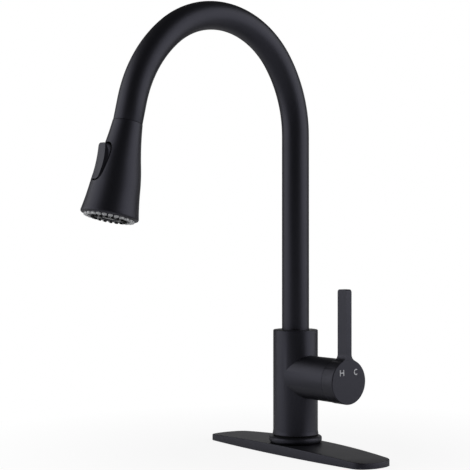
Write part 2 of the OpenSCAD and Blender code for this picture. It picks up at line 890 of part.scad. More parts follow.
module head_shell() {
    color("#1b1c1e") at_outlet() difference() {
        rotate_extrude() polygon(concat(
            [[0, head_top]],
            head_line(0, head_top, rim_s),
            lip_points,
            [[0, head_length]]
        ));
        head_solid(head_wall, head_top + head_roof, plate_s);
        translate([0, 0, plate_s - 1]) cylinder(r = face_r + seat_gap, h = face_cut);
        translate([0, 0, -1]) cylinder(r = nut_neck_r + seat_gap, h = head_roof + 3);
        facing_front(pocket_back, pocket_front) pocket_outline(0);
    }
}

nut_top = -12;
nut_neck_r = seat_r_low - 0.4;
nut_flange_low = 14;
cone_gap = 0.4;
cone_rate = (seat_r_low - dock_bore_r) / (seat_low - seat_top);
nut_top_r = dock_bore_r + cone_rate * (nut_top - seat_top) - cone_gap;

module swivel_nut() {
    color("#b9bbbe") at_outlet() rotate_extrude() polygon([
        [neck_r + running_gap, nut_top],
        [nut_top_r, nut_top],
        [nut_neck_r, seat_low],
        [nut_neck_r, head_top + head_roof + seat_gap],
        [head_neck_r - head_wall - seat_gap, head_top + head_roof + seat_gap],
        [head_neck_r - head_wall - seat_gap, nut_flange_low],
        [core_r + seat_gap, nut_flange_low],
        [core_r + seat_gap, core_s],
        [flange_r + seat_gap, core_s],
        [flange_r + seat_gap, flange_s - seat_gap],
        [neck_r + running_gap, flange_s - seat_gap]
    ]);
}

valve_s = core_s + 2.4;
valve_h = spool_s - spool_r - valve_s - 4.2;
valve_r = 6;

module spray_core() {
    flange_low = pad_s - 1 - seat_gap;
    color("#33353a") at_outlet() difference() {
        union() {
            translate([0, 0, core_s + seat_gap]) cylinder(r = core_r, h = flange_low - core_s - seat_gap);
            translate([0, 0, chamber_s]) cylinder(r = core_flange_r, h = flange_low - chamber_s);
            translate([0, 0, chamber_s + 1]) cylinder(r = core_land_r, h = pad_s - chamber_s - 1 - seat_gap);
        }
        translate([0, 0, core_s]) cylinder(r = valve_r + seat_gap, h = valve_s + valve_h - core_s);
        translate([0, 0, core_s]) cylinder(r = 3, h = spool_s - core_s);
        translate([0, 0, spool_s]) cylinder(r = 2.4, h = pad_s - spool_s);
        translate([0, 0, chamber_s + 2.5]) ring(chamber_r, core_land_r + 0.2, face_cut);
        translate([0, 0, chamber_s + 2.5]) cylinder(r = aerator_r + seat_gap, h = face_cut);
        at_face_screws() translate([0, 0, pad_s - 4]) cylinder(r = face_screw_r + eps, h = face_cut);
        facing_front(-core_r - 1, core_r + 1) translate([0, spool_s]) circle(r = spool_r + running_gap);
    }
}

module neck_washer() {
    color("#101010") at_outlet() translate([0, 0, flange_s + flange_t + seat_gap])
        ring(flange_r, 3.2, core_s - flange_s - flange_t - seat_gap);
}

module filter_screen() {
    color("#a8abae") at_outlet() translate([0, 0, core_s + 2 * seat_gap]) difference() {
        cylinder(r = valve_r, h = 1.8);
        for (i = [-2 : 2])
            for (j = [-2 : 2])
                translate([i * 1.7 - 0.5, j * 1.7 - 0.5, -1]) cube([1, 1, 4]);
    }
}

module check_valve() {
    color("#dcdcd4") at_outlet() translate([0, 0, valve_s]) difference() {
        cylinder(r = valve_r, h = valve_h - seat_gap);
        translate([0, 0, -1]) cylinder(r = 3.4, h = 4);
        translate([0, 0, 2]) cylinder(r = 4.4, h = valve_h - 5);
        translate([0, 0, valve_h - 4]) cylinder(r = 3, h = 6);
    }
}

frame_wall = 2;

module button_frame() {
    color("#0c0c0d") at_outlet() difference() {
        intersection() {
            facing_front(frame_back, pocket_front) pocket_outline(-frame_wall);
            head_solid(head_wall + seat_gap, head_top + 3, rim_s);
        }
        facing_front(frame_floor, pocket_front + 1) pocket_outline(0);
        facing_front(frame_back - 1, frame_floor + 1) translate([0, spool_s]) circle(r = spool_r + 0.7);
        translate([0, pivot_n, pivot_s]) rotate([0, 90, 0])
            cylinder(r = rocker_pin_r + eps, h = 2 * pocket_width, center = true);
    }
}

module rocker_pin() {
    color("#c8cacc") at_outlet() translate([0, pivot_n, pivot_s]) rotate([0, 90, 0])
        cylinder(r = rocker_pin_r, h = pocket_width + 3, center = true);
}

// Trapezoid section of the button: narrow at the face, wide at the pocket
face_half_w = 6;
face_n = 23.2;
side_rate = 0.56;

module button_section() {
    back_w = face_half_w + side_rate * (face_n - frame_floor);
    front_w = face_half_w - side_rate * 3;
    polygon([[-back_w, frame_floor], [back_w, frame_floor], [front_w, face_n + 3], [-front_w, face_n + 3]]);
}

// Side of the button in the (n, s) plane, with its hollowed face
module button_side() {
    top_s = button_s - pocket_length / 2 + 2.5;
    low_s = button_s + pocket_length / 2 - 1.4;
    dish_r = 86;
    dish_n = 22.15;
    dish_s = button_s - 1.8;
    front_n = dish_n + 4;
    difference() {
        polygon([
            [pivot_n + 3.6, top_s],
            [front_n, top_s],
            [front_n, low_s],
            [pivot_n + 1.2, low_s],
            [pivot_n + 0.4, pivot_s + 6],
            [pivot_n + 1.6, pivot_s - 6]
        ]);
        translate([dish_n + dish_r, dish_s]) circle(r = dish_r, $fn = 360);
    }
}

module rocker_button() {
    color("#1b1c1e") at_outlet() difference() {
        union() {
            intersection() {
                facing_front(pocket_back, pocket_front) pocket_outline(button_gap);
                linear_extrude(big) button_section();
                rotate([0, 0, 90]) rotate([90, 0, 0])
                    translate([0, 0, -pocket_width]) linear_extrude(2 * pocket_width) button_side();
            }
            translate([0, pivot_n, pivot_s]) rotate([0, 90, 0])
                cylinder(r = 2.6, h = pocket_width - 2 * button_gap - 1, center = true);
            translate([-1.5, spool_front + 0.15, spool_s - 1.2]) cube([3, 5, 2.4]);
        }
        translate([0, pivot_n, pivot_s]) rotate([0, 90, 0])
            cylinder(r = rocker_pin_r + running_gap, h = 2 * pocket_width, center = true);
    }
}

spool_back = -7.6;
spool_groove_n = [-4, 4];

module at_spool(n) {
    at_outlet() translate([0, n, spool_s]) rotate([-90, 0, 0]) children();
}

module diverter_spool() {
    color("#e4e1d6") difference() {
        at_spool(spool_back) cylinder(r = spool_r, h = spool_front - spool_back);
        for (n = spool_groove_n)
            at_spool(n) ring(spool_r + 1, spool_r - 0.9, 1.4);
    }
}

module spool_rings() {
    color("#101010") for (n = spool_groove_n)
        at_spool(n + 0.1) ring(spool_r + running_gap / 2, spool_r - 0.8, 1.2);
}

// ---- spray face -----------------------------------------------------------

core_flange_r = head_r(chamber_s) - head_wall - 0.3;
chamber_r = core_flange_r - 1;
face_r = nozzle_circle_r + nozzle_w / 2 + 0.6;
pad_r = face_r - 0.4;

// Square with cut corners, the plan of one outer nozzle
module nozzle_plan(w) {
    cut = w * 0.24;
    h = w / 2;
    polygon([
        [-h, -h + cut], [-h + cut, -h], [h - cut, -h], [h, -h + cut],
        [h, h - cut], [h - cut, h], [-h + cut, h], [-h, h - cut]
    ]);
}

module at_outer_nozzles() {
    for (i = [0 : nozzle_count - 1])
        rotate([0, 0, 360 * i / nozzle_count]) translate([nozzle_circle_r, 0, 0]) children();
}

module at_inner_nozzles() {
    for (i = [0 : inner_nozzle_count - 1])
        rotate([0, 0, 360 * i / inner_nozzle_count]) translate([inner_nozzle_circle_r, 0, 0]) children();
}

module at_face_screws() {
    for (a = [30, 150, 270])
        rotate([0, 0, a]) translate([face_screw_circle, 0, 0]) children();
}

module face_gasket() {
    color("#101010") at_outlet() translate([0, 0, pad_s - 1]) ring(core_flange_r, chamber_r, 1);
}

// The outer nozzles and the inner ones are moulded on two rings of their own
module nozzle_pad() {
    color("#e3e5e6") at_outlet() difference() {
        union() {
            translate([0, 0, pad_s]) ring(pad_r, pad_split_r + seat_gap, plate_s - pad_s - eps);
            at_outer_nozzles() translate([0, 0, plate_s - 0.1])
                linear_extrude(face_s + nozzle_out - plate_s) nozzle_plan(nozzle_w);
        }
        at_outer_nozzles() translate([-nozzle_feed_in, 0, pad_s - 1])
            cylinder(r = 0.6, h = face_cut, $fn = 16);
    }
}

module inner_nozzle_pad() {
    color("#1b1c1e") at_outlet() difference() {
        union() {
            translate([0, 0, pad_s]) ring(pad_split_r, aerator_r + seat_gap, plate_s - pad_s - eps);
            at_inner_nozzles() translate([0, 0, plate_s - 0.1])
                cylinder(r = inner_nozzle_r, h = raised_s + inner_nozzle_out - plate_s, $fn = 24);
        }
        at_inner_nozzles() translate([0, 0, pad_s - 1]) cylinder(r = 0.5, h = face_cut, $fn = 16);
        at_face_screws() translate([0, 0, pad_s - 1]) cylinder(r = face_screw_r + seat_gap, h = face_cut);
    }
}

// Stepped plate: a low ring for the outer nozzles round a raised middle
module face_plate() {
    bore_r = aerator_r + seat_gap;
    color("#1b1c1e") at_outlet() difference() {
        rotate_extrude() polygon([
            [bore_r, plate_s],
            [face_r, plate_s],
            [face_r, face_s - 0.6],
            [face_r - 0.6, face_s],
            [raised_r + 0.5, face_s],
            [raised_r, raised_s - 0.4],
            [raised_r - 0.4, raised_s],
            [bore_r, raised_s]
        ]);
        at_outer_nozzles() translate([0, 0, plate_s - 1])
            linear_extrude(face_cut) nozzle_plan(nozzle_w + 0.3);
        at_inner_nozzles() translate([0, 0, plate_s - 1])
            cylinder(r = inner_nozzle_r + 0.15, h = face_cut, $fn = 24);
        at_face_screws() translate([0, 0, plate_s - 1]) cylinder(r = face_screw_r + seat_gap, h = face_cut);
        at_face_screws() translate([0, 0, raised_s - face_screw_head_t - seat_gap])
            cylinder(r = face_screw_head_r + seat_gap, h = face_cut);
    }
}

module face_screws() {
    head_s = raised_s - face_screw_head_t;
    slot = [2.8, 0.5, 1];
    color("#b8babd") at_outlet() at_face_screws() difference() {
        union() {
            translate([0, 0, pad_s - 3]) cylinder(r = face_screw_r, h = head_s + 1 - pad_s + 3, $fn = 32);
            translate([0, 0, head_s])
                cylinder(r = face_screw_head_r, h = face_screw_head_t - seat_gap, $fn = 32);
        }
        for (a = [0, 90])
            rotate([0, 0, a]) translate([-slot[0] / 2, -slot[1] / 2, raised_s - 0.7]) cube(slot);
    }
}

module aerator_housing() {
    floor_s = chamber_s + 3;
    color("#1b1c1e") at_outlet() difference() {
        translate([0, 0, floor_s]) cylinder(r = aerator_r, h = raised_s + 0.4 - floor_s);
        translate([0, 0, floor_s - 1]) cylinder(r = 2.4, h = face_cut);
        translate([0, 0, floor_s + 3]) cylinder(r = aerator_r - aerator_wall, h = face_cut);
    }
}

module aerator_screen() {
    pitch = 2;
    hole = 1.4;
    color("#c9ccce") at_outlet() translate([0, 0, raised_s - 1.4]) difference() {
        cylinder(r = aerator_r - aerator_wall - seat_gap / 2, h = 1);
        for (i = [-3 : 3])
            for (j = [-3 : 3])
                if (norm([i, j]) < 3.4)
                    translate([i * pitch - hole / 2, j * pitch - hole / 2, -1]) cube([hole, hole, 3]);
    }
}

// ---- nodes ----------------------------------------------------------------

deck_plate();
plate_base();
plate_gasket();
base_ring();
base_seal();
valve_body();
spout_collar();
mounting_shank();
rubber_washer();
steel_washer();
mounting_nut();
nut_screws();
cartridge_housing();
cartridge_seals();
fixed_disc();
cartridge_nut();
bonnet_dome();
stem_carrier();
stem_pin();
moving_disc();
lever_handle();
cartridge_stem();
handle_set_screw();
screw_plug();
spout_tube();
spout_bush();
glide_rings();
dock_collar();
dock_magnet();
spray_hose();
hose_plug();
hose_ferrule();
head_shell();
swivel_nut();
spray_core();
neck_washer();
filter_screen();
check_valve();
button_frame();
rocker_pin();
face_gasket();
nozzle_pad();
inner_nozzle_pad();
face_plate();
face_screws();
aerator_housing();
aerator_screen();
rocker_button();
diverter_spool();
spool_rings();
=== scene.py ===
"""A matte black pull-down kitchen faucet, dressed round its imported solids. Metres, +Z up."""

import json
import math

import bmesh
import bpy
from mathutils import Matrix, Vector
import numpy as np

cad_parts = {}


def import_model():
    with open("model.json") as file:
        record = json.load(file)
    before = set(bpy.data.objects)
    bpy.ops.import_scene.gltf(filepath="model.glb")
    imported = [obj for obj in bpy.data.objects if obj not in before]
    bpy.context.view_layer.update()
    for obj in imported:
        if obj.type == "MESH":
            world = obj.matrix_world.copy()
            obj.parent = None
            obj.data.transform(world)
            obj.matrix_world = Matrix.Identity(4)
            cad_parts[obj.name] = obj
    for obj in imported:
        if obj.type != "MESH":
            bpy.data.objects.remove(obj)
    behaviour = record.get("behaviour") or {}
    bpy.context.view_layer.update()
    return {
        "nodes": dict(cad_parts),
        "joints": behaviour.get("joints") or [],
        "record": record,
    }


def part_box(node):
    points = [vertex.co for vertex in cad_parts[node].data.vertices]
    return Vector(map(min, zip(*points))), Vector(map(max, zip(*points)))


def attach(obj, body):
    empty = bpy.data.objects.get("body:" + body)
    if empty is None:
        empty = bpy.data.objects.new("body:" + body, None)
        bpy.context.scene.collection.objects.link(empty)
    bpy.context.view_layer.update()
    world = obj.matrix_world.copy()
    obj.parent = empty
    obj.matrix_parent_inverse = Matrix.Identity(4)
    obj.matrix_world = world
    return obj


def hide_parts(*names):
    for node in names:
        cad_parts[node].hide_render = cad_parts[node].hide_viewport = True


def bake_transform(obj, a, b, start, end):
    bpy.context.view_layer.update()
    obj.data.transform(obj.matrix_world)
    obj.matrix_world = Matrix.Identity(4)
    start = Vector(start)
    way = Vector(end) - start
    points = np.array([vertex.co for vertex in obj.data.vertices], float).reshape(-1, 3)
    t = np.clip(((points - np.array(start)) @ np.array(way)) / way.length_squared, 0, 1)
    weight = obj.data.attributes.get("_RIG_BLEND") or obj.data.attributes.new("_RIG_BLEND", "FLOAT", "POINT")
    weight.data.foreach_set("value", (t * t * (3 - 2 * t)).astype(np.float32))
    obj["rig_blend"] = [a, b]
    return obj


# How a copy of a solid is cleaned and rounded, and up to which angle in degrees surfaces shade smoothly
WELD_DISTANCE = 2e-6
FLAT_ANGLE = math.radians(0.6)
CUT_TOLERANCE = 1e-7
BEVEL_ANGLE = math.radians(32)
BEVEL_SEGMENTS = 3
SMOOTH_SOLID = 28
SMOOTH_PLATE = 35
SMOOTH_FINE = 40

# Finishes: scale of the fine grain and of the broad unevenness, and depths of the bumps
GRAIN_SCALE = 5200
UNEVEN_SCALE = 38
GRAIN_DEPTH = 0.00004
TURNING_DEPTH = 0.00003
BRAID_DEPTH = 0.0003
BRAID_SCALE = 2.2

# Camera: it stands at CAMERA_AZIMUTH round the column, turned a little left and up
CAMERA_AZIMUTH = math.radians(49.874)
CAMERA_DISTANCE = 1.34792
CAMERA_HEIGHT = 0.221175
CAMERA_YAW = math.radians(2.72)
CAMERA_PITCH = math.radians(0.327)
CAMERA_LENS = 97.5
CAMERA_SENSOR = 36

# Deck plate
PLATE_LENGTH = 0.254
PLATE_WIDTH = 0.058
PLATE_END_WIDTH = 0.047
PLATE_HEIGHT = 0.0102
PLATE_END_HEIGHT = 0.0057
PLATE_END_RUN = 0.0134
PLATE_END_R = 0.038
PLATE_CORNER_R = 0.013
PLATE_WALL = 0.0015
PLATE_EDGE_R = 0.0007
SHANK_HOLE_R = 0.017
SEAT_R = 0.0283

# Spout: the leg, three bends and a short straight run to the outlet
TUBE_R = 0.0143
TUBE_WALL = 0.0014
LEG_TOP = 0.3332
BENDS = ((0.1334, 35.1), (0.0942, 94.7), (0.1294, 37.35))
OUTLET_RUN = 0.0222
SEAM_GAP = 0.0003
TUBE_SIDES = 96
TUBE_STEP_DEG = 2.5
TUBE_LIP = 0.0004
LEG_STATIONS = (0.16, 0.24)

# Spray hose, and how it is drawn out of the dock
HOSE_R = 0.005
HOSE_BORE_R = 0.003
HOSE_DROP = 0.075
HOSE_COLUMN_Z = 0.1
HOSE_END = -0.014
HOSE_STRETCH = (-0.038, -0.0165)
HOSE_RINGS = 160
HOSE_SIDES = 24
HOSE_STEP_DEG = 4
BRAID_PITCH = 0.0045

# Spray face: two rings of rubber with their nozzles, heights from the seam
PAD_FOOT = 0.0866
PAD_TOP = 0.08899
OUTER_PAD_R = (0.0193, 0.0249)
OUTER_NOZZLES = 25
OUTER_CIRCLE_R = 0.0226
OUTER_TIP = 0.0951
OUTER_TIP_EDGE = 0.0006
OUTER_NOZZLE_W = 0.0042
OUTER_CORNER_R = 0.0012
OUTER_MOUTH_R = 0.0006
INNER_PAD_R = (0.0091, 0.0192)
INNER_NOZZLES = 18
INNER_CIRCLE_R = 0.016
INNER_TIP = 0.0963
INNER_TIP_EDGE = 0.0004
INNER_NOZZLE_R = 0.0014
INNER_MOUTH_R = 0.0005
NOZZLE_SINK = 0.0004
MOUTH_DEPTH = 0.0012
PAD_SIDES = 72

# Rocker button: where its ends and tapered flanks lie, and how its outer corners are rounded
BUTTON_EDGE = 0.0006
BUTTON_ENDS = (0.0262, 0.0617)
BUTTON_FACE = (0.006, 0.0232)
BUTTON_TAPER = 0.56
BUTTON_CORNER_R = 0.003
BUTTON_CUTS = (15, 30, 45, 60, 75)

# Hub and its marks
HUB_FACE_X = 0.0833
MARK_H_AT = (-0.0094, 0.0902)
MARK_C_AT = (0.0096, 0.0903)
MARK_W = 0.0056
MARK_TALL = 0.0061
MARK_STROKE = 0.00095
MARK_PROUD = 0.00004
MARK_SINK = 0.0001

# Light: each soft box by azimuth, distance, height, aim, size and watts, and an even ambient
AMBIENT = 0.06
SOFTBOXES = {
    "left_box": (-30, 1.4, 0.4, (0, -0.08, 0.22), (1.9, 2.0), 16),
    "right_box": (132, 1.4, 0.5, (0, -0.08, 0.22), (1.9, 2.4), 20),
    "back_box": (228, 1.7, 0.55, (0, 0, 0), (1.8, 0.6), 1.6),
}

# Floor: the white it shows the camera grows from FLOOR_GLOW near the object to all of it
FLOOR_DROP = 0.0002
FLOOR_SIZE = 2.2
FLOOR_GLOW = 0.9
FLOOR_SHEEN = 0.2
FADE_START = 0.12
FADE_END = 0.4


# ---- materials ------------------------------------------------------------

def new_material(name):
    material = bpy.data.materials.new(name)
    material.use_nodes = True
    nodes = material.node_tree.nodes
    return material, nodes, material.node_tree.links, nodes["Principled BSDF"]


def object_coords(nodes, links, scale):
    coords = nodes.new("ShaderNodeTexCoord")
    mapping = nodes.new("ShaderNodeMapping")
    mapping.inputs["Scale"].default_value = scale
    links.new(coords.outputs["Object"], mapping.inputs["Vector"])
    return mapping.outputs["Vector"]


def noise(nodes, links, vector, scale, detail):
    texture = nodes.new("ShaderNodeTexNoise")
    texture.inputs["Scale"].default_value = scale
    texture.inputs["Detail"].default_value = detail
    links.new(vector, texture.inputs["Vector"])
    return texture.outputs["Fac"]


def remap(nodes, links, value, low, high):
    span = nodes.new("ShaderNodeMapRange")
    span.inputs["To Min"].default_value = low
    span.inputs["To Max"].default_value = high
    links.new(value, span.inputs["Value"])
    return span.outputs["Result"]


def mix_colours(nodes, links, factor, first, second):
    mix = nodes.new("ShaderNodeMix")
    mix.data_type = "RGBA"
    mix.inputs["A"].default_value = (*first, 1)
    mix.inputs["B"].default_value = (*second, 1)
    links.new(factor, mix.inputs["Factor"])
    return mix.outputs["Result"]


def bump(nodes, links, shader, height, strength, distance):
    node = nodes.new("ShaderNodeBump")
    node.inputs["Strength"].default_value = strength
    node.inputs["Distance"].default_value = distance
    links.new(height, node.inputs["Height"])
    links.new(node.outputs["Normal"], shader.inputs["Normal"])


def coated(name, dark, light, rough, grain, specular=0.5, tint=(1, 1, 1)):
    """Powder coat or moulded finish: fine grain in colour, gloss and bump."""
    material, nodes, links, shader = new_material(name)
    vector = object_coords(nodes, links, (1, 1, 1))
    fine = noise(nodes, links, vector, GRAIN_SCALE, 2)
    broad = noise(nodes, links, vector, UNEVEN_SCALE, 3)
    links.new(mix_colours(nodes, links, fine, dark, light), shader.inputs["Base Color"])
    links.new(remap(nodes, links, broad, rough - 0.03, rough + 0.03), shader.inputs["Roughness"])
    shader.inputs["Specular IOR Level"].default_value = specular
    shader.inputs["Specular Tint"].default_value = (*tint, 1)
    bump(nodes, links, shader, fine, grain, GRAIN_DEPTH)
    return material


def metal(name, colour, rough, stretch):
    """Machined or drawn metal: grain stretched round the axis."""
    material, nodes, links, shader = new_material(name)
    grain = noise(nodes, links, object_coords(nodes, links, stretch), 1, 4)
    shade = tuple(c * 0.8 for c in colour)
    links.new(mix_colours(nodes, links, grain, shade, colour), shader.inputs["Base Color"])
    links.new(remap(nodes, links, grain, rough - 0.08, rough + 0.08), shader.inputs["Roughness"])
    shader.inputs["Metallic"].default_value = 1
    bump(nodes, links, shader, grain, 0.15, TURNING_DEPTH)
    return material


def braid_material():
    """Grey braid: two families of strands that cross on the hose's own coordinates."""
    material, nodes, links, shader = new_material("hose_braid")
    coords = nodes.new("ShaderNodeTexCoord")
    height = None
    for turn in (1, -1):
        mapping = nodes.new("ShaderNodeMapping")
        mapping.inputs["Rotation"].default_value = (0, 0, turn * math.radians(45))
        links.new(coords.outputs["UV"], mapping.inputs["Vector"])
        wave = nodes.new("ShaderNodeTexWave")
        wave.inputs["Scale"].default_value = BRAID_SCALE
        links.new(mapping.outputs["Vector"], wave.inputs["Vector"])
        if height is None:
            height = wave.outputs["Fac"]
        else:
            most = nodes.new("ShaderNodeMath")
            most.operation = "MAXIMUM"
            links.new(height, most.inputs[0])
            links.new(wave.outputs["Fac"], most.inputs[1])
            height = most.outputs["Value"]
    colour = mix_colours(nodes, links, height, (0.05, 0.052, 0.056), (0.22, 0.225, 0.235))
    links.new(colour, shader.inputs["Base Color"])
    shader.inputs["Roughness"].default_value = 0.55
    bump(nodes, links, shader, height, 0.6, BRAID_DEPTH)
    return material


def make_materials():
    black = (0.0030, 0.0031, 0.0036)
    black_light = (0.0052, 0.0054, 0.0062)
    cool = (0.78, 0.78, 1.0)
    return {
        "black_metal": coated("black_metal", black, black_light, 0.46, 0.25, 0.6, cool),
        "black_plastic": coated("black_plastic", black, black_light, 0.46, 0.18, 0.6, cool),
        "dark_plastic": coated(
            "dark_plastic", (0.004, 0.004, 0.0042), (0.007, 0.007, 0.0072), 0.6, 0.2
        ),
        "black_rubber": coated(
            "black_rubber", (0.004, 0.004, 0.004), (0.008, 0.008, 0.008), 0.8, 0.35, 0.3
        ),
        "brass": metal("brass", (0.72, 0.50, 0.22), 0.32, (60, 60, 2400)),
        "steel": metal("steel", (0.62, 0.63, 0.65), 0.34, (60, 60, 2400)),
        "braid": braid_material(),
        "ceramic": coated("ceramic", (0.82, 0.82, 0.79), (0.86, 0.86, 0.83), 0.16, 0.05),
        "pale_plastic": coated("pale_plastic", (0.70, 0.68, 0.61), (0.75, 0.73, 0.66), 0.42, 0.1),
        "silicone": coated("silicone", (0.66, 0.67, 0.69), (0.74, 0.75, 0.77), 0.5, 0.12),
        "magnet": metal("magnet", (0.42, 0.42, 0.44), 0.3, (900, 900, 900)),
        "marks": coated("marks", (0.66, 0.67, 0.70), (0.72, 0.73, 0.76), 0.5, 0.1),
    }


def give(obj, material):
    obj.data.materials.clear()
    obj.data.materials.append(material)


# ---- meshes ---------------------------------------------------------------

def add_object(name, mesh):
    obj = bpy.data.objects.new(name, mesh)
    bpy.context.scene.collection.objects.link(obj)
    return obj


def smooth(obj, angle):
    """Smooth shading that keeps the edges that turn by more than angle."""
    mesh = obj.data
    for polygon in mesh.polygons:
        polygon.use_smooth = True
    edges = bmesh.new()
    edges.from_mesh(mesh)
    limit = math.radians(angle)
    for edge in edges.edges:
        edge.smooth = len(edge.link_faces) == 2 and edge.calc_face_angle(0) < limit
    edges.to_mesh(mesh)
    edges.free()


def apply_modifiers(obj):
    bpy.context.view_layer.update()
    graph = bpy.context.evaluated_depsgraph_get()
    finished = bpy.data.meshes.new_from_object(obj.evaluated_get(graph))
    old = obj.data
    obj.modifiers.clear()
    obj.data = finished
    bpy.data.meshes.remove(old)


def button_planes():
    """Planes round the corners between the button's flanks and ends, each as normal and distance."""
    flank = Vector((1, BUTTON_TAPER, 0)).normalized()
    reach = flank.dot(Vector((*BUTTON_FACE, 0)))
    planes = []
    for side in (-1, 1):
        for end, place in zip((-1, 1), BUTTON_ENDS):
            for angle in BUTTON_CUTS:
                c, s = math.cos(math.radians(angle)), math.sin(math.radians(angle))
                out = Vector((side * flank.x * c, flank.y * c, end * s))
                distance = (reach - BUTTON_CORNER_R) * c + (end * place - BUTTON_CORNER_R) * s
                planes.append((out, distance + BUTTON_CORNER_R))
    return planes


def cut_away(work, planes):
    """Take off what lies beyond each plane, and close the cut."""
    base = outlet_matrix()
    for out, distance in planes:
        cut = bmesh.ops.bisect_plane(
            work,
            geom=work.verts[:] + work.edges[:] + work.faces[:],
            dist=CUT_TOLERANCE,
            plane_co=base @ (out * distance),
            plane_no=base.to_3x3() @ out,
            clear_outer=True,
        )
        rim = [item for item in cut["geom_cut"] if isinstance(item, bmesh.types.BMEdge)]
        bmesh.ops.edgeloop_fill(work, edges=rim)


def soften(node, width, planes=()):
    """A copy of a CAD node's mesh, cut by planes if given, with its sharp edges rounded."""
    mesh = bpy.data.objects[node].data.copy()
    obj = add_object(node + "_soft", mesh)
    work = bmesh.new()
    work.from_mesh(mesh)
    bmesh.ops.remove_doubles(work, verts=work.verts, dist=WELD_DISTANCE)
    bmesh.ops.dissolve_limit(
        work,
        angle_limit=FLAT_ANGLE,
        verts=work.verts,
        edges=work.edges,
        use_dissolve_boundaries=False,
    )
    cut_away(work, planes)
    work.to_mesh(mesh)
    work.free()
    bevel = obj.modifiers.new("edges", "BEVEL")
    bevel.width = width
    bevel.segments = BEVEL_SEGMENTS
    bevel.limit_method = "ANGLE"
    bevel.angle_limit = BEVEL_ANGLE
    bevel.use_clamp_overlap = True
    bevel.miter_outer = "MITER_ARC"
    apply_modifiers(obj)
    smooth(obj, SMOOTH_SOLID)
    return obj


def mesh_from(name, vertices, faces):
    mesh = bpy.data.meshes.new(name)
    mesh.from_pydata([tuple(v) for v in vertices], [], faces)
    mesh.validate()
    work = bmesh.new()
    work.from_mesh(mesh)
    bmesh.ops.recalc_face_normals(work, faces=work.faces)
    work.to_mesh(mesh)
    work.free()
    return add_object(name, mesh)


def object_from(name, work):
    """The object of a finished bmesh, its faces turned outwards."""
    bmesh.ops.recalc_face_normals(work, faces=work.faces)
    mesh = bpy.data.meshes.new(name)
    work.to_mesh(mesh)
    work.free()
    return add_object(name, mesh)


def bridge(work, low, high):
    """Quads between two rings of vertices."""
    count = len(low)
    for k in range(count):
        m = (k + 1) % count
        work.faces.new((low[k], low[m], high[m], high[k]))


def arc_points(centre, r, start, stop, steps):
    """Points on an arc between two angles in degrees, without the last one."""
    points = []
    for i in range(steps):
        a = math.radians(start + (stop - start) * i / steps)
        points.append((centre[0] + r * math.cos(a), centre[1] + r * math.sin(a)))
    return points


# ---- spout's path ---------------------------------------------------------

def bend_stations(station, r, turn, steps):
    y, z, heading = station
    a = math.radians(heading)
    cy, cz = y - r * math.cos(a), z - r * math.sin(a)
    stations = []
    for i in range(1, steps + 1):
        a = math.radians(heading + turn * i / steps)
        stations.append((cy + r * math.cos(a), cz + r * math.sin(a), heading + turn * i / steps))
    return stations


def straight(station, run):
    y, z, heading = station
    a = math.radians(heading)
    return (y - run * math.sin(a), z + run * math.cos(a), heading)


def spout_bends(step_deg):
    stations = [(0.0, LEG_TOP, 0.0)]
    for r, turn in BENDS:
        stations += bend_stations(stations[-1], r, turn, max(2, round(turn / step_deg)))
    return stations


def loop(station, r, sides):
    y, z, heading = station
    a = math.radians(heading)
    points = []
    for k in range(sides):
        t = 2 * math.pi * k / sides
        out = r * math.sin(t)
        points.append(Vector((r * math.cos(t), y + out * math.cos(a), z + out * math.sin(a))))
    return points


def outlet_matrix():
    """Frame at the seam: Z out of the spout, Y to the head's front."""
    y, z, heading = straight(spout_bends(5)[-1], OUTLET_RUN)
    return Matrix.Translation((0, y, z)) @ Matrix.Rotation(math.radians(heading), 4, "X")


def sweep_rings(rings):
    """Vertices and quads of a closed run of rings: the last ring joins the first."""
    sides = len(rings[0])
    vertices = [p for ring in rings for p in ring]
    faces = []
    for i in range(len(rings)):
        j = (i + 1) % len(rings)
        for k in range(sides):
            m = (k + 1) % sides
            faces.append((i * sides + k, i * sides + m, j * sides + m, j * sides + k))
    return vertices, faces


def make_spout_tube():
    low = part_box("spout_tube")[0].z
    path = [(0.0, z, 0.0) for z in (low, *LEG_STATIONS)] + spout_bends(TUBE_STEP_DEG)
    tip = straight(path[-1], OUTLET_RUN - SEAM_GAP / 2)
    near_tip = straight(path[-1], OUTLET_RUN - SEAM_GAP / 2 - TUBE_LIP)
    bore_r = TUBE_R - TUBE_WALL
    rings = [loop(s, TUBE_R, TUBE_SIDES) for s in path + [near_tip]]
    rings.append(loop(straight(near_tip, TUBE_LIP * 0.7), TUBE_R - TUBE_LIP * 0.3, TUBE_SIDES))
    rings.append(loop(tip, TUBE_R - TUBE_LIP, TUBE_SIDES))
    rings += [loop(s, bore_r, TUBE_SIDES) for s in [tip] + path[::-1]]
    obj = mesh_from("spout_tube_fine", *sweep_rings(rings))
    smooth(obj, SMOOTH_FINE)
    return obj


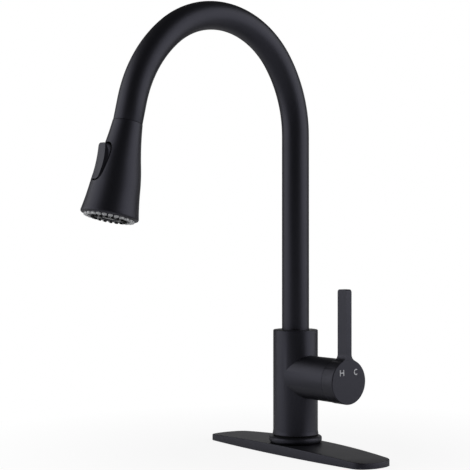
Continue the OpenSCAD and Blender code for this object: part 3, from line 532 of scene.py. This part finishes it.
def make_hoses(frame):
    """The braided hose: the run that the spout holds, and the stretch that is drawn out of it.

    The stretch is a piece of its own, because a blend goes by a point's place along the outlet's axis,
    and the run in the column lies further along that axis than the stretch's end.
    """
    bends = spout_bends(HOSE_STEP_DEG)
    outlet = straight(bends[-1], OUTLET_RUN)
    start, end = HOSE_STRETCH
    span = end - start
    pull = max(j["range_m"][1] for j in frame["joints"] if j["name"] == "spray_pull")
    first = path_at(outlet, bends, start)
    run = [(0.0, -HOSE_DROP, 0.0), (0.0, HOSE_COLUMN_Z, 0.0)]
    run += [s for s in bends if s[2] < first[2]] + [first]
    run_along = [0.0]
    for low, high in zip(run, run[1:]):
        run_along.append(run_along[-1] + math.dist(low[:2], high[:2]))
    held = hose_piece("spray_hose_held", run, run_along)
    shares = [i / HOSE_RINGS for i in range(HOSE_RINGS + 1)]
    places = [start + span * even_place(share, span, pull) for share in shares]
    stations = [path_at(outlet, bends, s) for s in places]
    along = [run_along[-1] + share * (span + pull) for share in shares]
    stations.append(path_at(outlet, bends, HOSE_END))
    along.append(along[-1] + HOSE_END - end)
    drawn = hose_piece("spray_hose_drawn", stations, along)
    exit_frame = outlet_matrix()
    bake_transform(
        drawn,
        "spout",
        "hose_end",
        start=exit_frame @ Vector((0, 0, start)),
        end=exit_frame @ Vector((0, 0, end)),
    )
    return held, drawn


def hose_piece(name, stations, along):
    rings = [loop(s, HOSE_R, HOSE_SIDES) for s in stations]
    rings += [loop(s, HOSE_BORE_R, HOSE_SIDES) for s in stations[::-1]]
    obj = mesh_from(name, *sweep_rings(rings))
    uv_along(obj, along)
    smooth(obj, SMOOTH_FINE)
    return obj


def even_place(share, span, pull):
    """Where on the stretch, 0 to 1, a ring goes to land at share of the drawn-out length."""
    low, high = 0.0, 1.0
    for _ in range(40):
        t = (low + high) / 2
        drawn = t * span + pull * t * t * (3 - 2 * t)
        if drawn < share * (span + pull):
            low = t
        else:
            high = t
    return (low + high) / 2


def path_at(outlet, bends, s):
    """Station at s on the outlet's axis, measured from the seam; the last bend is followed inside."""
    if s > -OUTLET_RUN:
        return straight(outlet, s)
    r = BENDS[-1][0]
    back = math.degrees((-OUTLET_RUN - s) / r)
    y, z, heading = bends[-1]
    a = math.radians(heading)
    cy, cz = y - r * math.cos(a), z - r * math.sin(a)
    b = math.radians(heading - back)
    return (cy + r * math.cos(b), cz + r * math.sin(b), heading - back)


def uv_along(obj, along):
    """UVs that run round the hose and by each ring's distance along it."""
    count, sides = len(along), HOSE_SIDES
    layer = obj.data.uv_layers.new(name="UVMap")
    for polygon in obj.data.polygons:
        ring_ids = [obj.data.loops[i].vertex_index // sides for i in polygon.loop_indices]
        side_ids = [obj.data.loops[i].vertex_index % sides for i in polygon.loop_indices]
        wraps = max(side_ids) - min(side_ids) > 1
        for i, ring_id, side_id in zip(polygon.loop_indices, ring_ids, side_ids):
            place = along[ring_id if ring_id < count else 2 * count - 1 - ring_id]
            round_share = (sides if wraps and side_id == 0 else side_id) / sides
            layer.data[i].uv = (round_share * 2 * math.pi * HOSE_R / BRAID_PITCH, place / BRAID_PITCH)


# ---- deck plate -----------------------------------------------------------

def plate_quarter(inset):
    bow = (PLATE_WIDTH - PLATE_END_WIDTH) / 2
    run = PLATE_LENGTH / 2 - PLATE_END_RUN
    side_r = (run * run + bow * bow) / (2 * bow)
    below = side_r - PLATE_WIDTH / 2
    along = PLATE_LENGTH / 2 - PLATE_END_R
    far = math.hypot(below, along)
    r_side, r_end = side_r - PLATE_CORNER_R, PLATE_END_R - PLATE_CORNER_R
    foot = (far * far + r_side * r_side - r_end * r_end) / (2 * far)
    rise = math.sqrt(r_side * r_side - foot * foot)
    corner = (
        (foot * along + rise * below) / far,
        -below + (foot * below - rise * along) / far,
    )
    a_side = math.degrees(math.atan2(corner[1] + below, corner[0]))
    a_end = math.degrees(math.atan2(corner[1], corner[0] - along))
    return (
        arc_points((0, -below), side_r - inset, 90, a_side, 24)
        + arc_points(corner, PLATE_CORNER_R - inset, a_side, a_end, 16)
        + arc_points((along, 0), PLATE_END_R - inset, a_end, 0, 12)
    )


def plate_outline(inset):
    """Outline of the plate, drawn in by inset, clockwise from +Y."""
    quarter = plate_quarter(inset)
    tip = PLATE_LENGTH / 2 - inset
    back = quarter[:0:-1]
    return (
        quarter
        + [(tip, 0.0)]
        + [(x, -y) for x, y in back]
        + [(-x, -y) for x, y in quarter]
        + [(-tip, 0.0)]
        + [(-x, y) for x, y in back]
    )


def crown_height(x):
    drop = PLATE_HEIGHT - PLATE_END_HEIGHT
    half = PLATE_LENGTH / 2
    r = (half * half + drop * drop) / (2 * drop)
    return PLATE_HEIGHT - (r - math.sqrt(r * r - x * x))


def make_deck_plate():
    """Crowned cover with a softly rounded crease, hollow below, with the hole for the shank."""
    inner = plate_outline(PLATE_WALL)
    rings = [
        [Vector((x, y, crown_height(x) - PLATE_WALL)) for x, y in inner],
        [Vector((x, y, 0)) for x, y in inner],
        [Vector((x, y, 0)) for x, y in plate_outline(0)],
    ]
    steps = 4
    for i in range(steps + 1):
        a = math.radians(90 * i / steps)
        inset = PLATE_EDGE_R * (1 - math.cos(a))
        drop = PLATE_EDGE_R * (1 - math.sin(a))
        rings.append([Vector((x, y, crown_height(x) - drop)) for x, y in plate_outline(inset)])
    outline = rings[-1]
    for share in (0.75, 0.5, 0.3):
        ring = []
        for p in outline:
            flat = Vector((p.x, p.y, 0))
            near = flat.normalized() * SEAT_R
            x, y = near.lerp(flat, share).xy
            ring.append(Vector((x, y, crown_height(x))))
        rings.append(ring)
    rings.append(circle_ring(outline, SEAT_R, PLATE_HEIGHT))
    rings.append(circle_ring(outline, SHANK_HOLE_R, PLATE_HEIGHT))
    rings.append(circle_ring(outline, SHANK_HOLE_R, PLATE_HEIGHT - PLATE_WALL))
    vertices, faces = sweep_rings(rings)
    obj = mesh_from("deck_plate_fine", vertices, faces)
    smooth(obj, SMOOTH_PLATE)
    return obj


def circle_ring(outline, r, z):
    ring = []
    for p in outline:
        x, y = Vector((p.x, p.y, 0)).normalized().xy * r
        ring.append(Vector((x, y, z)))
    return ring


# ---- spray face -----------------------------------------------------------

def rounded_square(w, r, steps):
    h = w / 2 - r
    points = []
    for i, (sx, sy) in enumerate(((1, 1), (-1, 1), (-1, -1), (1, -1))):
        for k in range(steps + 1):
            a = math.radians(90 * i + 90 * k / steps)
            points.append((sx * h + r * math.cos(a), sy * h + r * math.sin(a)))
    return points


def add_tip(work, matrix, plan, foot, top, mouth_r, edge):
    """One nozzle: its plan drawn up from foot to a rounded top with a small mouth."""
    levels = [(1.0, foot), (1.0, top - edge), (0.93, top - edge * 0.35), (0.8, top)]
    rings = []
    for share, z in levels:
        rings.append([work.verts.new(matrix @ Vector((x * share, y * share, z))) for x, y in plan])
    mouth = []
    for z in (top, top - MOUTH_DEPTH):
        ring = []
        for x, y in plan:
            px, py = Vector((x, y)).normalized() * mouth_r
            ring.append(work.verts.new(matrix @ Vector((px, py, z))))
        mouth.append(ring)
    rings += mouth
    for low, high in zip(rings, rings[1:]):
        bridge(work, low, high)
    work.faces.new(rings[-1])
    work.faces.new(rings[0][::-1])


def make_pad(name, pad_r, plan, count, circle_r, tip, mouth_r, edge):
    """A flat ring of rubber with count nozzles of one plan standing on it."""
    work = bmesh.new()
    base = outlet_matrix()
    for i in range(count):
        turn = Matrix.Rotation(2 * math.pi * i / count, 4, "Z")
        matrix = base @ turn @ Matrix.Translation((circle_r, 0, 0))
        add_tip(work, matrix, plan, PAD_TOP - NOZZLE_SINK, tip, mouth_r, edge)
    angles = [2 * math.pi * k / PAD_SIDES for k in range(PAD_SIDES)]
    rings = []
    for r, s in ((pad_r[1], PAD_FOOT), (pad_r[1], PAD_TOP), (pad_r[0], PAD_TOP), (pad_r[0], PAD_FOOT)):
        ring = [base @ Vector((r * math.cos(a), r * math.sin(a), s)) for a in angles]
        rings.append([work.verts.new(p) for p in ring])
    for i, low in enumerate(rings):
        bridge(work, low, rings[(i + 1) % len(rings)])
    obj = object_from(name, work)
    smooth(obj, SMOOTH_FINE)
    return obj


def make_outer_pad():
    plan = rounded_square(OUTER_NOZZLE_W, OUTER_CORNER_R, 4)
    return make_pad(
        "outer_nozzles",
        OUTER_PAD_R,
        plan,
        OUTER_NOZZLES,
        OUTER_CIRCLE_R,
        OUTER_TIP,
        OUTER_MOUTH_R,
        OUTER_TIP_EDGE,
    )


def make_inner_pad():
    angles = [math.radians(22.5 * k) for k in range(16)]
    plan = [(INNER_NOZZLE_R * math.cos(a), INNER_NOZZLE_R * math.sin(a)) for a in angles]
    return make_pad(
        "inner_nozzles",
        INNER_PAD_R,
        plan,
        INNER_NOZZLES,
        INNER_CIRCLE_R,
        INNER_TIP,
        INNER_MOUTH_R,
        INNER_TIP_EDGE,
    )


# ---- hub marks ------------------------------------------------------------

def make_mark(name, outline_sets, at):
    """Flat mark just proud of the hub's face; outlines are in (Y, Z) about its centre."""
    work = bmesh.new()
    for outline in outline_sets:
        low = [work.verts.new((HUB_FACE_X - MARK_SINK, at[0] + y, at[1] + z)) for y, z in outline]
        high = [work.verts.new((HUB_FACE_X + MARK_PROUD, at[0] + y, at[1] + z)) for y, z in outline]
        work.faces.new(high)
        work.faces.new(low[::-1])
        bridge(work, low, high)
    return object_from(name, work)


def letter_h():
    w, h, s = MARK_W / 2, MARK_TALL / 2, MARK_STROKE
    return [[
        (-w, -h), (-w + s, -h), (-w + s, -s / 2), (w - s, -s / 2), (w - s, -h), (w, -h),
        (w, h), (w - s, h), (w - s, s / 2), (-w + s, s / 2), (-w + s, h), (-w, h),
    ]]


def letter_c():
    w, h, s = MARK_W / 2, MARK_TALL / 2, MARK_STROKE
    angles = [math.radians(48 + (312 - 48) * i / 28) for i in range(29)]
    outer = [(w * math.cos(a), h * math.sin(a)) for a in angles]
    inner = [((w - s) * math.cos(a), (h - s) * math.sin(a)) for a in angles[::-1]]
    return [outer + inner]


# ---- stage ----------------------------------------------------------------

def make_camera():
    data = bpy.data.cameras.new("camera")
    data.lens = CAMERA_LENS
    data.sensor_width = CAMERA_SENSOR
    data.sensor_fit = "HORIZONTAL"
    data.clip_end = 20
    camera = bpy.data.objects.new("camera", data)
    camera.location = (
        CAMERA_DISTANCE * math.sin(CAMERA_AZIMUTH),
        -CAMERA_DISTANCE * math.cos(CAMERA_AZIMUTH),
        CAMERA_HEIGHT,
    )
    heading = CAMERA_AZIMUTH + CAMERA_YAW
    level = math.cos(CAMERA_PITCH)
    forward = Vector((-math.sin(heading) * level, math.cos(heading) * level, math.sin(CAMERA_PITCH)))
    camera.rotation_euler = forward.to_track_quat("-Z", "Y").to_euler()
    bpy.context.scene.collection.objects.link(camera)
    bpy.context.scene.camera = camera


def add_softbox(name, location, aim, size, power):
    data = bpy.data.lights.new(name, "AREA")
    data.shape = "RECTANGLE"
    data.size, data.size_y = size
    data.energy = power
    light = bpy.data.objects.new(name, data)
    light.location = location
    light.rotation_euler = (Vector(aim) - Vector(location)).to_track_quat("-Z", "Y").to_euler()
    light.visible_camera = False
    bpy.context.scene.collection.objects.link(light)


def around(azimuth, distance, height):
    """A point at a view azimuth round the column: 0 is the front, 90 the +X side."""
    a = math.radians(azimuth)
    return (distance * math.sin(a), -distance * math.cos(a), height)


def make_lights():
    for name, (azimuth, distance, height, aim, size, power) in SOFTBOXES.items():
        add_softbox(name, around(azimuth, distance, height), aim, size, power)


def make_world():
    world = bpy.data.worlds.new("world")
    bpy.context.scene.world = world
    world.use_nodes = True
    nodes, links = world.node_tree.nodes, world.node_tree.links
    ambient = nodes["Background"]
    ambient.inputs["Color"].default_value = (1, 1, 1, 1)
    ambient.inputs["Strength"].default_value = AMBIENT
    backdrop = nodes.new("ShaderNodeBackground")
    backdrop.inputs["Color"].default_value = (1, 1, 1, 1)
    backdrop.inputs["Strength"].default_value = 1
    path = nodes.new("ShaderNodeLightPath")
    mix = nodes.new("ShaderNodeMixShader")
    links.new(path.outputs["Is Camera Ray"], mix.inputs["Fac"])
    links.new(ambient.outputs["Background"], mix.inputs[1])
    links.new(backdrop.outputs["Background"], mix.inputs[2])
    links.new(mix.outputs["Shader"], nodes["World Output"].inputs["Surface"])


def make_floor():
    """Pale floor: near white to the camera, with the object's shadow kept."""
    material, nodes, links, shader = new_material("floor")
    shader.inputs["Base Color"].default_value = (0.9, 0.9, 0.9, 1)
    shader.inputs["Roughness"].default_value = 0.9
    shader.inputs["Specular IOR Level"].default_value = 0.1
    glow = nodes.new("ShaderNodeEmission")
    glow.inputs["Color"].default_value = (1, 1, 1, 1)
    glow.inputs["Strength"].default_value = 1
    path = nodes.new("ShaderNodeLightPath")
    coords = nodes.new("ShaderNodeTexCoord")
    distance = nodes.new("ShaderNodeVectorMath")
    distance.operation = "LENGTH"
    links.new(coords.outputs["Object"], distance.inputs[0])
    fade = nodes.new("ShaderNodeMapRange")
    fade.inputs["From Min"].default_value = FADE_START
    fade.inputs["From Max"].default_value = FADE_END
    fade.inputs["To Min"].default_value = FLOOR_GLOW
    links.new(distance.outputs["Value"], fade.inputs["Value"])
    weight = nodes.new("ShaderNodeMath")
    weight.operation = "MULTIPLY"
    links.new(path.outputs["Is Camera Ray"], weight.inputs[0])
    links.new(fade.outputs["Result"], weight.inputs[1])
    share = nodes.new("ShaderNodeMath")
    share.operation = "MULTIPLY_ADD"
    share.inputs[1].default_value = FLOOR_SHEEN
    links.new(path.outputs["Is Glossy Ray"], share.inputs[0])
    links.new(weight.outputs["Value"], share.inputs[2])
    mix = nodes.new("ShaderNodeMixShader")
    links.new(share.outputs["Value"], mix.inputs["Fac"])
    links.new(shader.outputs["BSDF"], mix.inputs[1])
    links.new(glow.outputs["Emission"], mix.inputs[2])
    links.new(mix.outputs["Shader"], nodes["Material Output"].inputs["Surface"])
    half = FLOOR_SIZE / 2
    z = -FLOOR_DROP
    corners = [(-half, -half, z), (half, -half, z), (half, half, z), (-half, half, z)]
    floor = mesh_from("floor", corners, [(0, 1, 2, 3)])
    give(floor, material)


# ---- dressing -------------------------------------------------------------

SOFT_NODES = {
    "base_ring": 0.0003,
    "valve_body": 0.0005,
    "spout_collar": 0.0003,
    "lever_handle": 0.0003,
    "bonnet_dome": 0.0003,
    "head_shell": 0.00035,
}


def dress(obj, node, frame, materials):
    """obj stands for node: same body, same slot, its slot's material."""
    slots = {p["node"]: p["material_slot"] for p in frame["record"]["subparts"]}
    bodies = {n: body for body, names in frame["record"]["behaviour"]["bodies"].items() for n in names}
    give(obj, materials[slots[node]])
    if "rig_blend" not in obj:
        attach(obj, bodies[node])
    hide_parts(node)


def main():
    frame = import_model()
    bpy.context.scene.view_settings.view_transform = "Standard"
    make_camera()
    make_world()
    make_lights()
    make_floor()
    materials = make_materials()
    for part in frame["record"]["subparts"]:
        give(frame["nodes"][part["node"]], materials[part["material_slot"]])
        smooth(frame["nodes"][part["node"]], SMOOTH_SOLID)
    dress(make_deck_plate(), "deck_plate", frame, materials)
    dress(make_spout_tube(), "spout_tube", frame, materials)
    dress(make_outer_pad(), "nozzle_pad", frame, materials)
    dress(make_inner_pad(), "inner_nozzle_pad", frame, materials)
    for hose in make_hoses(frame):
        dress(hose, "spray_hose", frame, materials)
    for node, width in SOFT_NODES.items():
        dress(soften(node, width), node, frame, materials)
    dress(soften("rocker_button", BUTTON_EDGE, button_planes()), "rocker_button", frame, materials)
    for name, outline, at in (("mark_hot", letter_h(), MARK_H_AT), ("mark_cold", letter_c(), MARK_C_AT)):
        mark = make_mark(name, outline, at)
        give(mark, materials["marks"])
        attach(mark, "handle")
    bpy.context.view_layer.update()


main()
